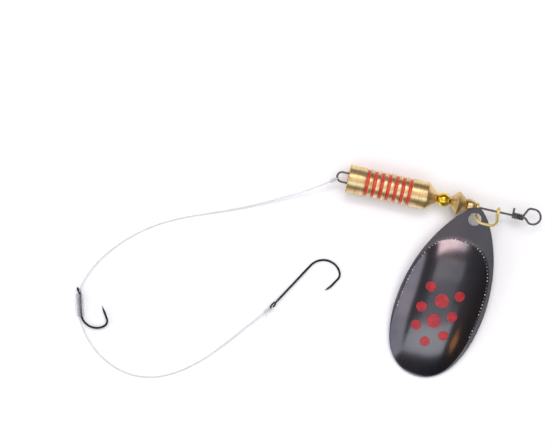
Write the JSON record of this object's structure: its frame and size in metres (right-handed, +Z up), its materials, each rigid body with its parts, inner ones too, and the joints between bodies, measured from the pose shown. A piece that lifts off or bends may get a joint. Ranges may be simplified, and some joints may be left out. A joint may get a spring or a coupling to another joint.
{
  "type": "inline spinner",
  "caption": "In-line fishing spinner: turned brass body with painted grooves, beads and a domed dark-mirror blade on a wire shaft, and a leader with a sleeved hook and a tail hook.",
  "frame": {"origin": "on the table under the middle of the lure itself (the leader and its hooks left out)", "axes": "+X along the shaft from the rear loop to the line-tie eye, -Y from the shaft along the blade, +Z up from the table the lure lies on"},
  "size_m": [0.1249, 0.0726, 0.008],
  "materials": {
    "dark_wire": "satin dark",
    "turned_brass": "turned, fine rings",
    "gold_bead": "polished",
    "pale_gold": "polished",
    "red_enamel": "gloss paint",
    "black_nickel": "dark mirror",
    "nylon_line": "clear",
    "clear_sleeve": "translucent",
    "hook_steel": "black"
  },
  "bodies": {
    "wire": {"shaft_wire": "dark_wire"},
    "bead_stack": {"round_bead": "gold_bead"},
    "body": {"body_weight": "turned_brass", "groove_enamel": "red_enamel"},
    "bicone": {"bicone_bead": "turned_brass"},
    "bearing": {"cup_bead": "turned_brass"},
    "stirrup": {"clevis": "pale_gold"},
    "spinner_blade": {"blade": "black_nickel", "blade_dots": "red_enamel"},
    "leader": {"leader_line": "nylon_line", "leader_knot": "nylon_line", "front_hook": "hook_steel", "hook_sleeve": "clear_sleeve", "tail_knot": "nylon_line"},
    "tail": {"tail_hook": "hook_steel"}
  },
  "joints": [
    {"name": "stack_slide", "type": "slide", "parent": "wire", "child": "bead_stack", "axis": [1, 0, 0], "range_m": [0, 0.0033]},
    {"name": "body_spin", "type": "hinge", "parent": "bead_stack", "child": "body", "pos_m": [0, 0.0233, 0.004], "axis": [1, 0, 0], "continuous": true},
    {"name": "bicone_spin", "type": "hinge", "parent": "bead_stack", "child": "bicone", "pos_m": [0, 0.0233, 0.004], "axis": [1, 0, 0], "continuous": true},
    {"name": "bearing_spin", "type": "hinge", "parent": "bead_stack", "child": "bearing", "pos_m": [0, 0.0233, 0.004], "axis": [1, 0, 0], "continuous": true},
    {"name": "clevis_spin", "type": "hinge", "parent": "bead_stack", "child": "stirrup", "pos_m": [0, 0.0233, 0.004], "axis": [1, 0, 0], "continuous": true},
    {"name": "blade_swing", "type": "hinge", "parent": "stirrup", "child": "spinner_blade", "pos_m": [0.01145, 0.02038, 0.00605], "axis": [-0.0171, -0.1174, 0.9929], "range_deg": [-11, 16]},
    {"name": "leader_swing", "type": "hinge", "parent": "wire", "child": "leader", "pos_m": [-0.0281, 0.0233, 0.004], "axis": [0, 0, 1], "range_deg": [-45, 30]},
    {"name": "tail_swing", "type": "hinge", "parent": "leader", "child": "tail", "pos_m": [-0.03972, -0.01755, 0.0011], "axis": [0, 0, 1], "range_deg": [-60, 60]}
  ]
}
